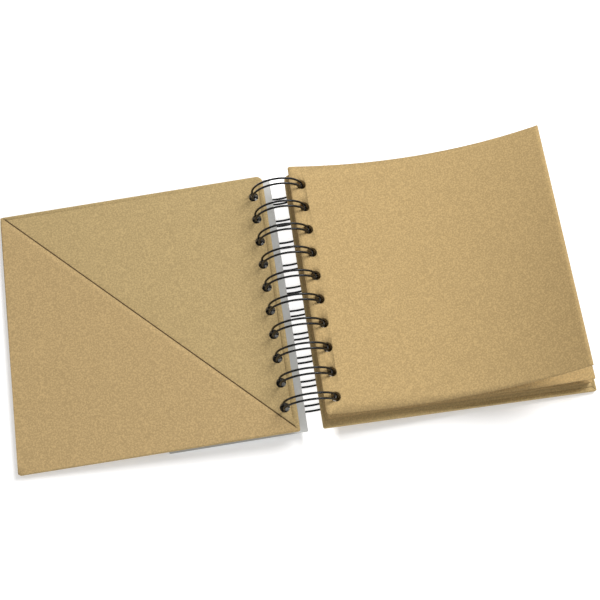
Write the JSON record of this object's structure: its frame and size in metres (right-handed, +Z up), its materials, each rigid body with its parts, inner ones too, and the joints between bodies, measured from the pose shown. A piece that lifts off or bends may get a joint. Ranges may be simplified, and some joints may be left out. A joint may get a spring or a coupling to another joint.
{
  "type": "sketchbook",
  "caption": "Square wire-bound kraft sketchbook lying open, with board covers, a corner pocket, a half-width backing card and a block of leaves under a curled top leaf.",
  "frame": {"origin": "centre of the bounding box's base, on the surface that the open book lies on", "axes": "+X from the open front cover to the leaves, +Y along the binding to the head of the book, +Z up"},
  "size_m": [0.292, 0.1384, 0.0441],
  "materials": {
    "board": "raw grey-brown greyboard, cut edge",
    "kraft_wrap": "uncoated brown kraft paper with fine fibres",
    "kraft_liner": "uncoated brown kraft paper",
    "kraft_pocket": "uncoated brown kraft paper, a little lighter",
    "kraft_leaf": "uncoated kraft drawing paper with fibres and specks",
    "card": "smooth light grey card",
    "wire": "black nylon-coated steel wire, satin"
  },
  "bodies": {
    "root": {"back_board": "board", "back_wrap": "kraft_wrap", "back_liner": "kraft_liner", "twin_loop_wire": "wire"},
    "front_cover": {"front_board": "board", "front_wrap": "kraft_wrap", "front_liner": "kraft_liner", "corner_pocket": "kraft_pocket"},
    "backing_card": {"backing_card": "card"},
    "leaf_01": {"leaf_01": "kraft_leaf"},
    "leaf_02": {"leaf_02": "kraft_leaf"},
    "leaf_03": {"leaf_03": "kraft_leaf"},
    "leaf_04": {"leaf_04": "kraft_leaf"},
    "leaf_05": {"leaf_05": "kraft_leaf"},
    "leaf_06": {"leaf_06": "kraft_leaf"},
    "leaf_07": {"leaf_07": "kraft_leaf"},
    "leaf_08": {"leaf_08": "kraft_leaf"},
    "leaf_09": {"leaf_09": "kraft_leaf"},
    "leaf_10": {"leaf_10": "kraft_leaf"},
    "leaf_11": {"leaf_11": "kraft_leaf"},
    "leaf_12": {"leaf_12": "kraft_leaf"},
    "leaf_13": {"leaf_13": "kraft_leaf"},
    "leaf_14": {"leaf_14": "kraft_leaf"},
    "leaf_15": {"leaf_15": "kraft_leaf"}
  },
  "joints": [
    {"name": "front_cover_hinge", "type": "hinge", "parent": "root", "child": "front_cover", "pos_m": [0.00099, 0, 0.01385], "axis": [0, 1, 0], "range_deg": [0, 183.5], "deforming": ["leaf_01"]},
    {"name": "backing_card_hinge", "type": "hinge", "parent": "root", "child": "backing_card", "pos_m": [0.00099, 0, 0.01385], "axis": [0, 1, 0], "range_deg": [0, 186.62]},
    {"name": "top_leaf_turn", "type": "hinge", "parent": "root", "child": "leaf_01", "pos_m": [0.00099, 0, 0.01385], "axis": [0, -1, 0], "range_deg": [0, 144]},
    {"name": "leaf_02_turn", "type": "hinge", "parent": "root", "child": "leaf_02", "pos_m": [0.00099, 0, 0.01385], "axis": [0, -1, 0], "range_deg": [0, 141.55]},
    {"name": "leaf_03_turn", "type": "hinge", "parent": "root", "child": "leaf_03", "pos_m": [0.00099, 0, 0.01385], "axis": [0, -1, 0], "range_deg": [0, 139.1]},
    {"name": "leaf_04_turn", "type": "hinge", "parent": "root", "child": "leaf_04", "pos_m": [0.00099, 0, 0.01385], "axis": [0, -1, 0], "range_deg": [0, 136.66]},
    {"name": "leaf_05_turn", "type": "hinge", "parent": "root", "child": "leaf_05", "pos_m": [0.00099, 0, 0.01385], "axis": [0, -1, 0], "range_deg": [0, 134.21]},
    {"name": "leaf_06_turn", "type": "hinge", "parent": "root", "child": "leaf_06", "pos_m": [0.00099, 0, 0.01385], "axis": [0, -1, 0], "range_deg": [0, 131.76]},
    {"name": "leaf_07_turn", "type": "hinge", "parent": "root", "child": "leaf_07", "pos_m": [0.00099, 0, 0.01385], "axis": [0, -1, 0], "range_deg": [0, 129.31]},
    {"name": "leaf_08_turn", "type": "hinge", "parent": "root", "child": "leaf_08", "pos_m": [0.00099, 0, 0.01385], "axis": [0, -1, 0], "range_deg": [0, 126.86]},
    {"name": "leaf_09_turn", "type": "hinge", "parent": "root", "child": "leaf_09", "pos_m": [0.00099, 0, 0.01385], "axis": [0, -1, 0], "range_deg": [0, 124.42]},
    {"name": "leaf_10_turn", "type": "hinge", "parent": "root", "child": "leaf_10", "pos_m": [0.00099, 0, 0.01385], "axis": [0, -1, 0], "range_deg": [0, 121.97]},
    {"name": "leaf_11_turn", "type": "hinge", "parent": "root", "child": "leaf_11", "pos_m": [0.00099, 0, 0.01385], "axis": [0, -1, 0], "range_deg": [0, 119.52]},
    {"name": "leaf_12_turn", "type": "hinge", "parent": "root", "child": "leaf_12", "pos_m": [0.00099, 0, 0.01385], "axis": [0, -1, 0], "range_deg": [0, 117.07]},
    {"name": "leaf_13_turn", "type": "hinge", "parent": "root", "child": "leaf_13", "pos_m": [0.00099, 0, 0.01385], "axis": [0, -1, 0], "range_deg": [0, 114.62]},
    {"name": "leaf_14_turn", "type": "hinge", "parent": "root", "child": "leaf_14", "pos_m": [0.00099, 0, 0.01385], "axis": [0, -1, 0], "range_deg": [0, 112.18]},
    {"name": "leaf_15_turn", "type": "hinge", "parent": "root", "child": "leaf_15", "pos_m": [0.00099, 0, 0.01385], "axis": [0, -1, 0], "range_deg": [0, 109.73]}
  ],
  "couplings": [
    {"joint": "backing_card_hinge", "follows": "front_cover_hinge", "ratio": 1.017},
    {"joint": "leaf_02_turn", "follows": "top_leaf_turn", "ratio": 0.983},
    {"joint": "leaf_03_turn", "follows": "top_leaf_turn", "ratio": 0.966},
    {"joint": "leaf_04_turn", "follows": "top_leaf_turn", "ratio": 0.949},
    {"joint": "leaf_05_turn", "follows": "top_leaf_turn", "ratio": 0.932},
    {"joint": "leaf_06_turn", "follows": "top_leaf_turn", "ratio": 0.915},
    {"joint": "leaf_07_turn", "follows": "top_leaf_turn", "ratio": 0.898},
    {"joint": "leaf_08_turn", "follows": "top_leaf_turn", "ratio": 0.881},
    {"joint": "leaf_09_turn", "follows": "top_leaf_turn", "ratio": 0.864},
    {"joint": "leaf_10_turn", "follows": "top_leaf_turn", "ratio": 0.847},
    {"joint": "leaf_11_turn", "follows": "top_leaf_turn", "ratio": 0.83},
    {"joint": "leaf_12_turn", "follows": "top_leaf_turn", "ratio": 0.813},
    {"joint": "leaf_13_turn", "follows": "top_leaf_turn", "ratio": 0.796},
    {"joint": "leaf_14_turn", "follows": "top_leaf_turn", "ratio": 0.779},
    {"joint": "leaf_15_turn", "follows": "top_leaf_turn", "ratio": 0.762}
  ]
}
